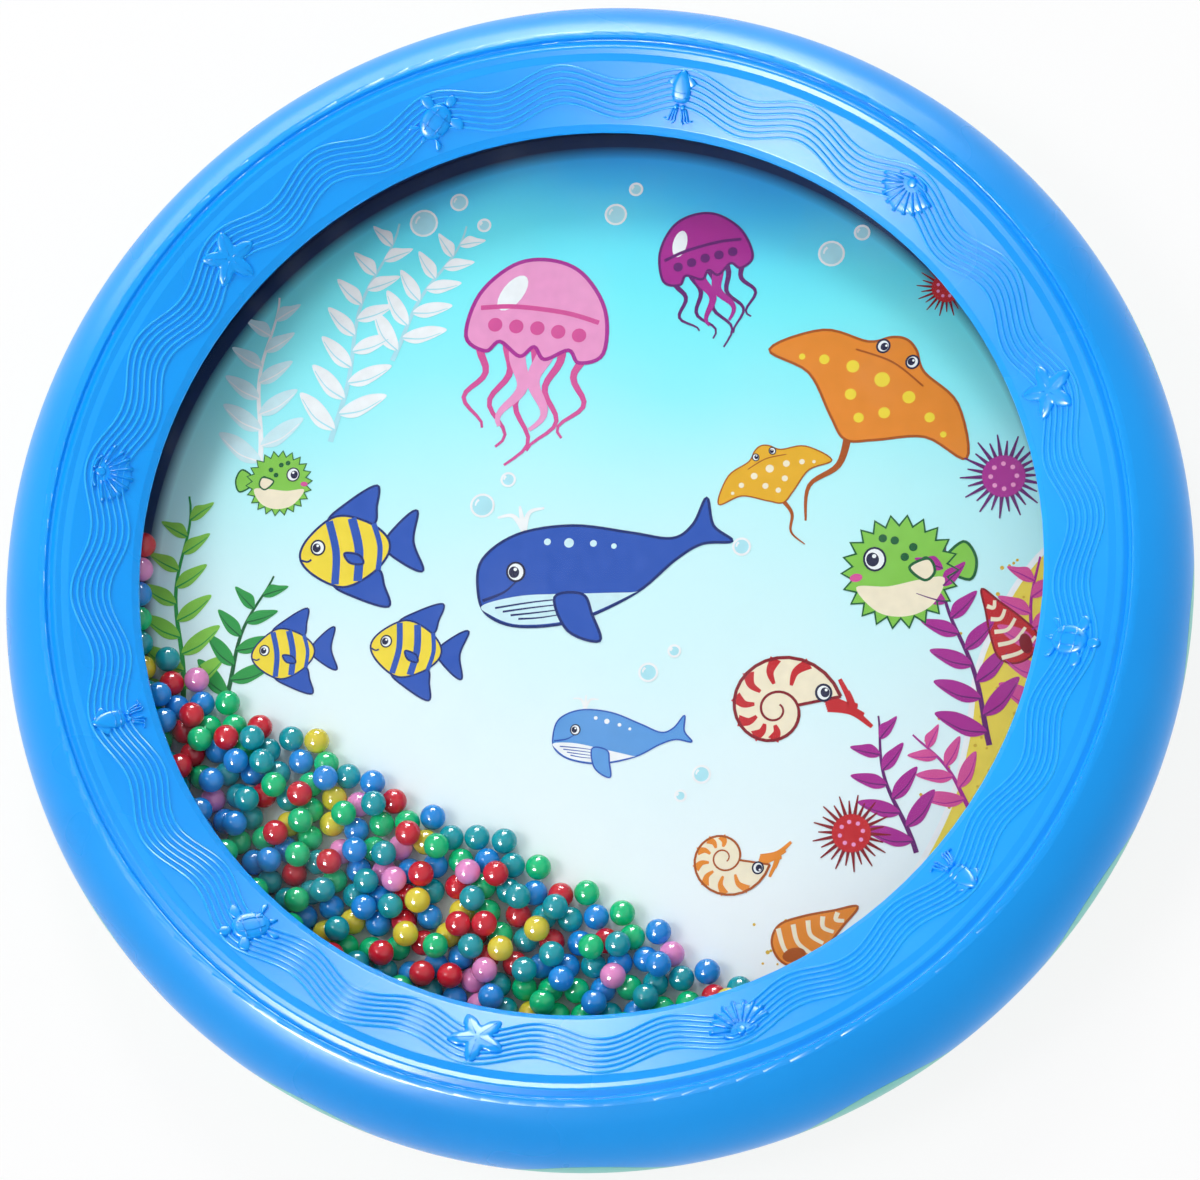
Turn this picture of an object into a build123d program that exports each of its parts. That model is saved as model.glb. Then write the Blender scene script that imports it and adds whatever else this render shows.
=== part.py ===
from build123d import *
import cmath
import itertools
import math
import os
import random

# Chamber and rim, all lengths in millimetres, from the window outward and from the middle plane up
window_diameter = 171.0
chamber_height = 14.8
film = 0.4
lip_land = 0.8
lip_round = 0.4
foot_run = 1.0
foot_climb = 1.4
band_run = 10.9
band_climb = 5.4
band_round = 0.6
strip_width = 1.45
ridge_width = 2.2
ridge_flank = 0.9
ridge_climb = 0.5
ridge_round = 0.2
groove_width = 0.5
crown_flank = 0.25
crown_climb = 0.9
crown_land = 0.5
crown_round = 2.0
crown_run = 7.4
rim_wall = 2.0

# Wavy seam between the two rim halves, and the tongue behind it
wave_count = 13
wave_reach = 4.2
wave_bearing = 270.0
seam_gap = 0.2
tongue_wall = 1.8
tongue_cover = 1.8
tongue_gap = 0.35

# Drum shell, heads, hoops and picture
lip_cover = 5.5
shell_wall = 2.0
shell_edge_round = 0.7
film_bend = 0.4
film_gap = 0.05
collar_length = 5.0
hoop_width = 2.5
hoop_height = 3.0
rib_wall = 1.8
rib_gap = 0.45
picture_thickness = 0.3
picture_gap = 0.3

# Screws that hold the two rim halves together
screw_count = 6
screw_bearing = 33.0
screw_diameter = 3.0
screw_length = 11.0
screw_head_diameter = 5.6
screw_head_height = 2.0
screw_slot_width = 0.9
screw_slot_depth = 0.8
screw_gap = 0.1
well_gap = 0.4
boss_joint_drop = 6.5
boss_floor = 2.5
boss_gap = 0.4
rear_boss_wall = 1.4
front_boss_wall = 1.7

# Loose beads; a depth is measured from the axis toward the heap
bead_diameter = 4.8
bead_gap = 0.12
bead_floor_gap = 0.25
heap_bearing = 240.5
heap_width = 35.8
heap_roughness = 2.4
row_width = 5.2
climbing_beads = 5
bead_seed = 7
colour_bag = "red teal blue green teal red blue green teal pink green blue red teal yellow blue green".split()

# Rises from the middle plane
shell_rise = chamber_height / 2
lip_rise = shell_rise + film
foot_rise = lip_rise + lip_land + foot_climb
band_top_rise = foot_rise + band_climb
ridge_rise = band_top_rise + ridge_climb
roof_rise = band_top_rise - rim_wall
mid = band_top_rise + crown_climb
hoop_foot_rise = lip_rise - collar_length
hoop_top_rise = hoop_foot_rise + hoop_height

# Radii of the rim
window_radius = window_diameter / 2
foot_radius = window_radius + foot_run
band_top_radius = foot_radius + band_run
band_slope = math.atan2(band_climb, band_run)
ridge_inner = band_top_radius + strip_width
ridge_outer = ridge_inner + ridge_width
crown_foot = ridge_outer + groove_width
crown_inner = crown_foot + crown_flank
crown_outer = crown_inner + crown_land
crown_tilt = math.atan2(crown_run, mid - crown_round)
round_centre = crown_outer - crown_run
rim_round = crown_round + math.hypot(crown_run, mid - crown_round)
rim_radius = round_centre + rim_round

# Radii of what the rim holds
shell_inner = window_radius + lip_cover
shell_outer = shell_inner + shell_wall
collar_inner = shell_outer + film_gap
collar_outer = collar_inner + film
rib_inner = collar_outer + rib_gap


def round_radius(rise, inset=0.0):
    return round_centre + math.sqrt((rim_round - inset) ** 2 - rise**2)


def round_rise(radius, inset=0.0):
    return math.sqrt((rim_round - inset) ** 2 - (radius - round_centre) ** 2)


def band_rise(radius):
    return foot_rise + (radius - foot_radius) * math.tan(band_slope)


# Tongue of the rear half, which closes the seam from inside, and the screws beside it
tongue_reach = wave_reach + tongue_cover
tongue_outer = round_radius(tongue_reach, rim_wall) - tongue_gap
tongue_inner = tongue_outer - tongue_wall
tongue_root = round_rise(tongue_inner, rim_wall)
hole_diameter = screw_diameter + screw_gap
well_diameter = screw_head_diameter + 2 * well_gap
front_boss_diameter = hole_diameter + 2 * front_boss_wall
rear_boss_diameter = well_diameter + 2 * rear_boss_wall
screw_circle = tongue_inner - boss_gap - front_boss_diameter / 2
boss_joint = mid - boss_joint_drop
screw_seat = boss_joint - boss_floor


# A point of a section; side is 1 for the front half of the drum and -1 for the rear half
def at(side, radius, rise):
    return (radius, mid + side * rise)


# Point on the bend that leads from the flat crown into the round of the rim
def crown_bend(side, tilt):
    radius = crown_outer + crown_round * math.sin(tilt)
    return at(side, radius, mid - crown_round * (1 - math.cos(tilt)))


# Outer outline of a rim half from its lip over ridge and crown and round to where the skin ends
def rim_outline(side, skin_end):
    FilletPolyline(
        at(side, window_radius, lip_rise),
        at(side, window_radius, lip_rise + lip_land),
        at(side, foot_radius, foot_rise),
        at(side, band_top_radius, band_top_rise),
        at(side, ridge_inner, band_top_rise),
        at(side, ridge_inner + ridge_flank, ridge_rise),
        at(side, ridge_outer - ridge_flank, ridge_rise),
        at(side, ridge_outer, band_top_rise),
        at(side, crown_foot, band_top_rise),
        at(side, crown_inner, mid),
        at(side, crown_outer, mid),
        radius=[lip_round, lip_round, band_round] + [ridge_round] * 6,
    )
    ThreePointArc(
        crown_bend(side, 0),
        crown_bend(side, crown_tilt / 2),
        crown_bend(side, crown_tilt),
    )
    half_way = (rim_round * math.cos(crown_tilt) + skin_end) / 2
    ThreePointArc(
        crown_bend(side, crown_tilt),
        at(side, round_radius(half_way), half_way),
        at(side, round_radius(skin_end), skin_end),
    )


# Section of a rim half's moulded wall, with a skin long enough for the seam's waves
def rim_section(side):
    inset_run = rim_wall * math.sin(band_slope)
    inset_drop = rim_wall * math.cos(band_slope)
    roof_inner = foot_radius + inset_run + (roof_rise - foot_rise + inset_drop) / math.tan(band_slope)
    roof_outer = round_radius(roof_rise, rim_wall)
    half_way = (roof_rise - wave_reach) / 2
    with BuildSketch(Plane.XZ) as section:
        with BuildLine():
            rim_outline(side, -wave_reach)
            Line(
                at(side, round_radius(-wave_reach), -wave_reach),
                at(side, round_radius(-wave_reach, rim_wall), -wave_reach),
            )
            ThreePointArc(
                at(side, round_radius(-wave_reach, rim_wall), -wave_reach),
                at(side, round_radius(half_way, rim_wall), half_way),
                at(side, roof_outer, roof_rise),
            )
            Polyline(
                at(side, roof_outer, roof_rise),
                at(side, roof_inner, roof_rise),
                at(side, foot_radius + inset_run, foot_rise - inset_drop),
                at(side, foot_radius + inset_run, lip_rise),
                at(side, window_radius, lip_rise),
            )
        make_face()
    return section.sketch


# Bosses that end at the joint between the halves and run into the moulded wall
def rim_bosses(side, diameter):
    with BuildPart() as bosses:
        with BuildSketch(Plane.XY.offset(boss_joint)):
            with PolarLocations(screw_circle, screw_count, start_angle=screw_bearing):
                Circle(diameter / 2)
        extrude(amount=side * 2 * mid)
        with BuildSketch(Plane.XZ):
            with BuildLine():
                rim_outline(side, -lip_rise)
                Polyline(
                    at(side, round_radius(-lip_rise), -lip_rise),
                    at(side, window_radius, -lip_rise),
                    at(side, window_radius, lip_rise),
                )
            make_face()
        revolve(axis=Axis.Z, mode=Mode.INTERSECT)
    return bosses.part


# Prism behind one wave of the seam, drawn on a plane through the axis and run outward
def seam_wave(side, bearing):
    half_width = rim_radius * math.sin(math.pi / wave_count)
    radial = Vector(1, 0, 0).rotate(Axis.Z, bearing)
    tangent = Vector(0, 1, 0).rotate(Axis.Z, bearing)
    low = side * (seam_gap / 2 - wave_reach)
    middle = side * seam_gap / 2
    high = side * (seam_gap / 2 + wave_reach)
    base = 2 * low
    with BuildPart() as wave:
        with BuildSketch(Plane(origin=(0, 0, mid), x_dir=tangent, z_dir=radial)):
            with BuildLine():
                climb = TangentArc((-half_width, low), (-half_width / 2, middle), tangent=(1, 0))
                TangentArc((-half_width / 2, middle), (0, high), tangent=climb % 1)
                fall = TangentArc((0, high), (half_width / 2, middle), tangent=(1, 0))
                TangentArc((half_width / 2, middle), (half_width, low), tangent=fall % 1)
                Polyline((half_width, low), (half_width, base), (-half_width, base), (-half_width, low))
            make_face()
        extrude(amount=rim_radius + rim_wall)
    return wave.part


# Ring of rectangular section, given by its radii and its rises
def ring_section(side, inner, outer, low, high):
    with BuildSketch(Plane.XZ) as section:
        with BuildLine():
            Polyline(
                at(side, inner, low),
                at(side, outer, low),
                at(side, outer, high),
                at(side, inner, high),
                close=True,
            )
        make_face()
    return section.sketch


# Rib under a band that presses on the hoop
def rib_section(side):
    rib_top = band_rise(rib_inner) - rim_wall / 2
    return ring_section(side, rib_inner, rib_inner + rib_wall, hoop_top_rise, rib_top)


# Section of a head: a film over the shell's edge with its collar turned down outside the shell
def head_section(side):
    with BuildSketch(Plane.XZ) as section:
        with BuildLine():
            FilletPolyline(
                at(side, 0, shell_rise),
                at(side, collar_inner, shell_rise),
                at(side, collar_inner, hoop_foot_rise),
                radius=film_bend,
            )
            Line(at(side, collar_inner, hoop_foot_rise), at(side, collar_outer, hoop_foot_rise))
            FilletPolyline(
                at(side, collar_outer, hoop_foot_rise),
                at(side, collar_outer, lip_rise),
                at(side, 0, lip_rise),
                radius=film_bend + film,
            )
            Line(at(side, 0, lip_rise), at(side, 0, shell_rise))
        make_face()
    return section.sketch


def export(piece, name):
    piece.part.label = name
    export_step(piece.part, f"parts/{name}.step")


os.makedirs("parts", exist_ok=True)

# Front rim half
front_section = rim_section(1)
front_rib = rib_section(1)
front_bosses = rim_bosses(1, front_boss_diameter)
wave_step = 360 / wave_count
front_waves = [seam_wave(1, wave_bearing + step * wave_step) for step in range(wave_count)]
with BuildPart() as front_rim:
    revolve(front_section, axis=Axis.Z)
    add(front_waves, mode=Mode.SUBTRACT)
    revolve(front_rib, axis=Axis.Z)
    add(front_bosses)
    with BuildSketch(Plane.XY.offset(boss_joint)):
        with PolarLocations(screw_circle, screw_count, start_angle=screw_bearing):
            Circle(hole_diameter / 2)
    extrude(amount=screw_length, mode=Mode.SUBTRACT)
export(front_rim, "front_rim")

# Rear rim half, whose ridge is the ring that the drum rests on
rear_section = rim_section(-1)
rear_rib = rib_section(-1)
rear_bosses = rim_bosses(-1, rear_boss_diameter)
rear_waves = [seam_wave(-1, wave_bearing + (step + 0.5) * wave_step) for step in range(wave_count)]
tongue = ring_section(-1, tongue_inner, tongue_outer, -tongue_reach, tongue_root)
with BuildPart() as rear_rim:
    revolve(rear_section, axis=Axis.Z)
    add(rear_waves, mode=Mode.SUBTRACT)
    revolve(tongue, axis=Axis.Z)
    revolve(rear_rib, axis=Axis.Z)
    add(rear_bosses)
    with BuildSketch(Plane.XY):
        with PolarLocations(screw_circle, screw_count, start_angle=screw_bearing):
            Circle(well_diameter / 2)
    extrude(amount=screw_seat, mode=Mode.SUBTRACT)
    with BuildSketch(Plane.XY):
        with PolarLocations(screw_circle, screw_count, start_angle=screw_bearing):
            Circle(hole_diameter / 2)
    extrude(amount=boss_joint, mode=Mode.SUBTRACT)
export(rear_rim, "rear_rim")

# Shell ring whose edges carry the two heads
with BuildPart() as drum_shell:
    revolve(ring_section(1, shell_inner, shell_outer, -shell_rise, shell_rise), axis=Axis.Z)
    fillet(drum_shell.edges().filter_by(GeomType.CIRCLE), radius=shell_edge_round)
export(drum_shell, "drum_shell")

# Heads and the hoops bonded to their collars
for side, end in ((1, "front"), (-1, "rear")):
    film_section = head_section(side)
    hoop_section = ring_section(side, collar_outer, collar_outer + hoop_width, hoop_foot_rise, hoop_top_rise)
    with BuildPart() as head:
        revolve(film_section, axis=Axis.Z)
    export(head, f"{end}_head")
    with BuildPart() as hoop:
        revolve(hoop_section, axis=Axis.Z)
    export(hoop, f"{end}_hoop")

# Printed sheet that lies on the rear head inside the shell
picture_floor = mid - shell_rise
with BuildPart() as picture_sheet:
    with BuildSketch(Plane.XY.offset(picture_floor)):
        Circle(shell_inner - picture_gap)
    extrude(amount=picture_thickness)
export(picture_sheet, "picture_sheet")

# Screws, put in from the rear
with BuildPart() as screws:
    with BuildSketch(Plane.XY.offset(screw_seat)):
        with PolarLocations(screw_circle, screw_count, start_angle=screw_bearing):
            Circle(screw_head_diameter / 2)
    extrude(amount=-screw_head_height)
    with BuildSketch(Plane.XY.offset(screw_seat)):
        with PolarLocations(screw_circle, screw_count, start_angle=screw_bearing):
            Circle(screw_diameter / 2)
    extrude(amount=screw_length)
    with BuildSketch(Plane.XY.offset(screw_seat - screw_head_height)):
        with PolarLocations(screw_circle, screw_count, start_angle=screw_bearing):
            Rectangle(screw_head_diameter, screw_slot_width)
            Rectangle(screw_slot_width, screw_head_diameter)
    extrude(amount=screw_slot_depth, mode=Mode.SUBTRACT)
export(screws, "screws")

# Bead heap on a complex plane whose real axis points from the drum's axis into the heap
pitch = bead_diameter + bead_gap
touch = pitch - bead_gap / 10
wall_track = shell_inner - bead_gap - bead_diameter / 2
heap_surface = wall_track - heap_width
heap_edge = heap_surface + 3 * row_width
dice = random.Random(bead_seed)


def is_clear(place, beads):
    return all(abs(place - bead) > touch for bead in beads)


# The two places that are one reach from one centre and another reach from a second centre
def places_between(first, second, first_reach, second_reach):
    span = abs(second - first)
    if not 0 < span < first_reach + second_reach:
        return []
    along = (span**2 + first_reach**2 - second_reach**2) / (2 * span)
    if abs(along) > first_reach:
        return []
    aside = math.sqrt(first_reach**2 - along**2)
    toward = (second - first) / span
    return [first + toward * complex(along, turn * aside) for turn in (1, -1)]


# Bottom layer: each bead drops into about the deepest place left beside two beads, or a bead and the wall
def bottom_layer():
    beads = [complex(wall_track, 0)]
    places = []
    while True:
        newest = beads[-1]
        fresh = places_between(newest, 0, pitch, wall_track)
        for other in beads[:-1]:
            if abs(other - newest) < 2 * pitch:
                fresh += places_between(newest, other, pitch, pitch)
        for place in fresh:
            if abs(place) < wall_track + bead_gap / 10 and is_clear(place, beads):
                places.append((place.real + dice.uniform(0, heap_roughness), place))
        places = [entry for entry in places if is_clear(entry[1], [newest])]
        deepest, place = max(places, key=lambda entry: entry[0])
        if deepest < heap_surface + heap_roughness / 2:
            return beads
        beads.append(place)


# Beads that climb along the wall above the left end of the heap
def wall_climbers(beads):
    climbers = []
    top = min((bead for bead in beads if abs(bead) > wall_track - bead_gap), key=lambda bead: bead.imag)
    bearing = cmath.phase(top)
    for _ in range(climbing_beads):
        while not is_clear(cmath.rect(wall_track, bearing), beads + climbers):
            bearing -= bead_gap / wall_track
        climbers.append(cmath.rect(wall_track, bearing))
    return climbers


# Upper layer: beads that sit in the hollows over three beads, behind the front of the heap
def upper_layer(beads):
    places = []
    for number, first in enumerate(beads):
        near = [bead - first for bead in beads[number + 1 :] if abs(bead - first) < 2 * pitch]
        for second, third in itertools.combinations(near, 2):
            twist = 2j * (second.conjugate() * third).imag
            if abs(twist) < pitch:
                continue
            hollow = second * third * (second - third).conjugate() / twist
            centre = first + hollow
            on_heap = centre.real > heap_surface + pitch and abs(centre) < wall_track
            if on_heap and abs(hollow) < touch:
                places.append((centre, math.sqrt(pitch**2 - abs(hollow) ** 2)))
    upper = []
    for centre, rise in sorted(places, key=lambda place: -place[0].real):
        others = [(bead, 0.0) for bead in beads] + upper
        if all(math.hypot(abs(centre - other), rise - lift) > touch for other, lift in others):
            upper.append((centre, rise))
    return upper


bottom = bottom_layer()
heap = [(bead, 0.0) for bead in bottom + wall_climbers(bottom)] + upper_layer(bottom)
bead_floor = picture_floor + picture_thickness + bead_floor_gap + bead_diameter / 2
turn_to_heap = cmath.rect(1, math.radians(heap_bearing))

# Rows of beads that run out over the picture one after the other, and the rest of the heap behind them
row_limits = {
    "leading": (0.0, heap_surface + row_width),
    "middle": (heap_surface + row_width, heap_surface + 2 * row_width),
    "trailing": (heap_surface + 2 * row_width, heap_edge),
    "heap": (heap_edge, rim_radius),
}
for row, (near, far) in row_limits.items():
    spots = {colour: [] for colour in colour_bag}
    bag = []
    for bead, lift in heap:
        if near <= bead.real < far:
            if not bag:
                bag = dice.sample(colour_bag, len(colour_bag))
            spot = bead * turn_to_heap
            spots[bag.pop()].append((spot.real, spot.imag, bead_floor + lift))
    for colour, centres in spots.items():
        with BuildPart() as beads:
            with Locations(*centres):
                Sphere(bead_diameter / 2)
        export(beads, f"{colour}_beads_{row}")
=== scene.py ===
import math
import random

import bpy
from mathutils import Matrix, Vector
from mathutils.geometry import tessellate_polygon


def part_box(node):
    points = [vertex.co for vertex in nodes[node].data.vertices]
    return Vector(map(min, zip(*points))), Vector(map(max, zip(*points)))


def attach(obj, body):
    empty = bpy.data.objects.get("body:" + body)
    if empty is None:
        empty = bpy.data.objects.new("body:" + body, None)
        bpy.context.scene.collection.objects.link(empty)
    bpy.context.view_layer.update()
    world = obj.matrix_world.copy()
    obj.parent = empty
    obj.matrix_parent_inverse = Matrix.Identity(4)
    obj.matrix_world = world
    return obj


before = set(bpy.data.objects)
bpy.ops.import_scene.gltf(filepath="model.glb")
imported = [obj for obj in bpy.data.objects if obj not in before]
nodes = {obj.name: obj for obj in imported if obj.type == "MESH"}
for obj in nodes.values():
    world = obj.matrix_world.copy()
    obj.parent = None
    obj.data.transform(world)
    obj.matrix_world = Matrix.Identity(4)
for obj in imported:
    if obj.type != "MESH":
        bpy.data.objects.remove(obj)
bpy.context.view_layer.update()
scene = bpy.context.scene
scene.view_settings.view_transform = "Standard"
mm = 0.001
print("frame loaded with", len(nodes), "nodes")

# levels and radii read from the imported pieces, in millimetres
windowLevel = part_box("front_head")[1][2] / mm
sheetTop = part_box("picture_sheet")[1][2] / mm
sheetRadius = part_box("picture_sheet")[1][0] / mm


def srgb(red, green, blue):
    channels = []
    for value in (red, green, blue):
        share = value / 255
        channels.append(share / 12.92 if share <= 0.04045 else ((share + 0.055) / 1.055) ** 2.4)
    return (*channels, 1.0)


def shade(colour, factor):
    return tuple(min(channel * factor, 1.0) for channel in colour[:3]) + (1.0,)


# camera

photoView = {
    "size": (1200, 1180),      # pixels
    "focal": 4185.0,           # pixels
    "sensor": 36.0,            # mm
    "tilt": 16.70,             # degrees off the drum's axis
    "bearing": -62.97,         # degrees, the way the camera leans
    "distance": 784.3,         # mm from the middle of the window
    "centre": (585.3, 562.5),  # pixel where the middle of the window shows
}


def placeCamera(view):
    width, height = view["size"]
    tilt, bearing = math.radians(view["tilt"]), math.radians(view["bearing"])
    back = Vector((math.sin(tilt) * math.cos(bearing), math.sin(tilt) * math.sin(bearing), math.cos(tilt)))
    up = (Vector((0, 1, 0)) - back * back.y).normalized()
    turn = Matrix((up.cross(back), up, back)).transposed().to_4x4()
    lens = bpy.data.cameras.new("photoCamera")
    lens.sensor_width = view["sensor"]
    lens.lens = view["sensor"] * view["focal"] / width
    lens.shift_x = (width / 2 - view["centre"][0]) / width
    lens.shift_y = (view["centre"][1] - height / 2) / width
    camera = bpy.data.objects.new("photoCamera", lens)
    target = Vector((0, 0, windowLevel * mm))
    camera.matrix_world = Matrix.Translation(target + back * view["distance"] * mm) @ turn
    scene.collection.objects.link(camera)
    scene.camera = camera


placeCamera(photoView)
print("camera placed")


# node helpers

def newMaterial(name):
    material = bpy.data.materials.new(name)
    material.use_nodes = True
    material.node_tree.nodes.clear()
    return material, material.node_tree


def addNode(tree, kind, **values):
    node = tree.nodes.new(kind)
    for key, value in values.items():
        if key in node.inputs:
            node.inputs[key].default_value = value
        else:
            setattr(node, key, value)
    return node


def finishMaterial(tree, shader):
    output = addNode(tree, "ShaderNodeOutputMaterial")
    tree.links.new(shader, output.inputs["Surface"])


def noiseField(tree, scale, detail=3.0):
    place = addNode(tree, "ShaderNodeTexCoord")
    field = addNode(tree, "ShaderNodeTexNoise", Scale=scale, Detail=detail)
    tree.links.new(place.outputs["Object"], field.inputs["Vector"])
    return field.outputs["Fac"]


def ramp(tree, field, stops):
    node = addNode(tree, "ShaderNodeValToRGB")
    elements = node.color_ramp.elements
    while len(elements) < len(stops):
        elements.new(0.5)
    for element, (position, colour) in zip(elements, stops):
        element.position = position
        element.color = colour
    tree.links.new(field, node.inputs["Fac"])
    return node.outputs["Color"]


def spread(tree, field, low, high, start=0.3, end=0.7):
    span = addNode(tree, "ShaderNodeMapRange")
    for name, value in (("From Min", start), ("From Max", end), ("To Min", low), ("To Max", high)):
        span.inputs[name].default_value = value
    tree.links.new(field, span.inputs["Value"])
    return span.outputs["Result"]


def addBump(tree, shader, field, strength, depth):
    bump = addNode(tree, "ShaderNodeBump", Strength=strength, Distance=depth)
    tree.links.new(field, bump.inputs["Height"])
    tree.links.new(bump.outputs["Normal"], shader.inputs["Normal"])


def coat(node, material):
    nodes[node].data.materials.clear()
    nodes[node].data.materials.append(material)


def newPiece(name, verts, faces, material, smooth=True):
    mesh = bpy.data.meshes.new(name)
    mesh.from_pydata([Vector(vert) * mm for vert in verts], [], faces)
    mesh.materials.append(material)
    mesh.polygons.foreach_set("use_smooth", [smooth] * len(mesh.polygons))
    mesh.update()
    piece = bpy.data.objects.new(name, mesh)
    scene.collection.objects.link(piece)
    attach(piece, "drum")
    return piece


# moulded plastics: slow flow shades, uneven gloss and a fine orange-peel skin

mouldSkin = {"shades": (0.93, 1.05), "strength": 0.05, "depth": 0.0002}  # depth in metres
plasticLooks = {
    "rimBlue": {"colour": srgb(6, 159, 255), "rough": (0.24, 0.32), "flow": 18, "skin": 900, "shine": 0.22},
    # painted highlight: a lighter copy of the rim blue for the light caught on the wave lines' crests
    "lineBlueHighlight": {"colour": srgb(40, 176, 255), "rough": (0.24, 0.32), "flow": 18, "skin": 900, "shine": 0.22},
    "rimMint": {"colour": srgb(120, 214, 204), "rough": (0.28, 0.36), "flow": 18, "skin": 900, "shine": 0.22},
    # painted shade: the shell is blue plastic, darkened to navy for the shade inside the chamber under the
    # lip
    "shellShadeNavy": {"colour": srgb(24, 44, 92), "rough": (0.34, 0.44), "flow": 22, "skin": 700, "shine": 0.2},
    "hoopWhite": {"colour": srgb(222, 225, 226), "rough": (0.45, 0.5), "flow": 30, "skin": 800, "shine": 0.2},
    # painted shade: the rear head film is given navy so the gap beside the sheet shows dark, as shade
    "rearFilmShade": {"colour": srgb(24, 44, 92), "rough": (0.3, 0.42), "flow": 12, "skin": 350, "shine": 0.2},
}
beadLook = {"rough": (0.09, 0.15), "flow": 150, "skin": 1500, "shine": 0.5}
beadTones = {
    "beadRed": srgb(218, 26, 48),
    "beadTeal": srgb(6, 160, 172),
    "beadBlue": srgb(24, 144, 230),
    "beadGreen": srgb(4, 200, 126),
    "beadPink": srgb(244, 146, 206),
    "beadYellow": srgb(234, 212, 58),
}
plasticLooks.update({name: {"colour": tone, **beadLook} for name, tone in beadTones.items()})


def mouldedPlastic(name, look):
    material, tree = newMaterial(name)
    shader = addNode(tree, "ShaderNodeBsdfPrincipled")
    shader.inputs["Specular IOR Level"].default_value = look["shine"]
    flow = noiseField(tree, look["flow"])
    dark, light = (shade(look["colour"], factor) for factor in mouldSkin["shades"])
    tones = [(0.3, dark), (0.7, light)]
    tree.links.new(ramp(tree, flow, tones), shader.inputs["Base Color"])
    tree.links.new(spread(tree, flow, *look["rough"]), shader.inputs["Roughness"])
    addBump(tree, shader, noiseField(tree, look["skin"], 2.0), mouldSkin["strength"], mouldSkin["depth"])
    finishMaterial(tree, shader.outputs["BSDF"])
    return material


plastics = {name: mouldedPlastic(name, look) for name, look in plasticLooks.items()}


# clear head: mostly see-through, with a thin sheen and a faint haze of scuffs

clearLook = {
    "tint": (0.985, 0.995, 1.0, 1.0), "index": 1.14, "rough": 0.05,
    "scuffs": 60, "haze": 0.012, "hazeTone": (0.9, 0.95, 1.0, 1.0),
}


def clearFilm(look):
    material, tree = newMaterial("clearFilm")
    through = addNode(tree, "ShaderNodeBsdfTransparent", Color=look["tint"])
    sheen = addNode(tree, "ShaderNodeBsdfGlossy", Roughness=look["rough"])
    facing = addNode(tree, "ShaderNodeFresnel", IOR=look["index"])
    sides = addNode(tree, "ShaderNodeNewGeometry")
    outside = addNode(tree, "ShaderNodeMath", operation="SUBTRACT", use_clamp=True)
    tree.links.new(facing.outputs["Fac"], outside.inputs[0])
    tree.links.new(sides.outputs["Backfacing"], outside.inputs[1])
    clear = addNode(tree, "ShaderNodeMixShader")
    tree.links.new(outside.outputs["Value"], clear.inputs["Fac"])
    tree.links.new(through.outputs["BSDF"], clear.inputs[1])
    tree.links.new(sheen.outputs["BSDF"], clear.inputs[2])
    scuff = addNode(tree, "ShaderNodeBsdfDiffuse", Color=look["hazeTone"])
    hazy = addNode(tree, "ShaderNodeMixShader")
    haze = spread(tree, noiseField(tree, look["scuffs"], 5.0), 0.0, look["haze"], 0.5, 0.75)
    tree.links.new(haze, hazy.inputs["Fac"])
    tree.links.new(clear.outputs["Shader"], hazy.inputs[1])
    tree.links.new(scuff.outputs["BSDF"], hazy.inputs[2])
    finishMaterial(tree, hazy.outputs["Shader"])
    return material


# plated steel of the screws, with a fine uneven grain

screwLook = {
    "dark": srgb(150, 152, 156), "light": srgb(206, 208, 210), "rough": (0.24, 0.42),
    "grain": 700, "strength": 0.08, "depth": 0.0001,
}


def platedSteel(look):
    material, tree = newMaterial("platedSteel")
    shader = addNode(tree, "ShaderNodeBsdfPrincipled", Metallic=1.0)
    field = noiseField(tree, look["grain"], 4.0)
    plating = ramp(tree, field, [(0.3, look["dark"]), (0.7, look["light"])])
    tree.links.new(plating, shader.inputs["Base Color"])
    tree.links.new(spread(tree, field, *look["rough"]), shader.inputs["Roughness"])
    addBump(tree, shader, field, look["strength"], look["depth"])
    finishMaterial(tree, shader.outputs["BSDF"])
    return material


coat("front_rim", plastics["rimBlue"])
coat("rear_rim", plastics["rimMint"])
coat("drum_shell", plastics["shellShadeNavy"])
coat("front_hoop", plastics["hoopWhite"])
coat("rear_hoop", plastics["hoopWhite"])
coat("rear_head", plastics["rearFilmShade"])
coat("front_head", clearFilm(clearLook))
coat("screws", platedSteel(screwLook))
for name in nodes:
    colour, _, row = name.partition("_beads_")
    if row:
        coat(name, plastics["bead" + colour.capitalize()])
print("moulded pieces, heads, screws and beads finished")

# printed picture: a water wash on the sheet with flat inks stacked on it

waterWash = {
    "lean": (0.1, 1.0),  # the way the water darkens
    "span": (-60, 90),   # mm along that way
    "tones": [
        (0.0, srgb(246, 252, 253)), (0.23, srgb(232, 251, 253)), (0.4, srgb(211, 250, 252)),
        (0.53, srgb(190, 250, 252)), (0.67, srgb(150, 247, 252)), (0.8, srgb(122, 245, 252)),
        (0.86, srgb(106, 236, 252)), (0.94, srgb(70, 198, 252)), (1.0, srgb(56, 174, 248)),
    ],
    "shadeBand": (85.6, 88.4),  # mm, radii over which the water darkens into painted shade under the rim's lip
    # painted shade: navy for the shade that falls on the picture under the rim's lip
    "shadeNavy": srgb(30, 56, 100),
    "rough": 0.42,
    "clouds": 14,
    "drift": (-0.05, 0.05),  # share of the span by which the clouds shift the tone
    "grain": 1200, "strength": 0.04, "depth": 0.0001,
}
inkLook = {
    "grain": 420, "worn": (0.86, 0.86, 0.86, 1), "full": (1, 1, 1, 1),
    "wear": 0.5,  # share of the ink that the grain takes hold of
    "rough": (0.36, 0.48),
}
paperShine = 0.15  # print on uncoated paper is nearly matt


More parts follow.
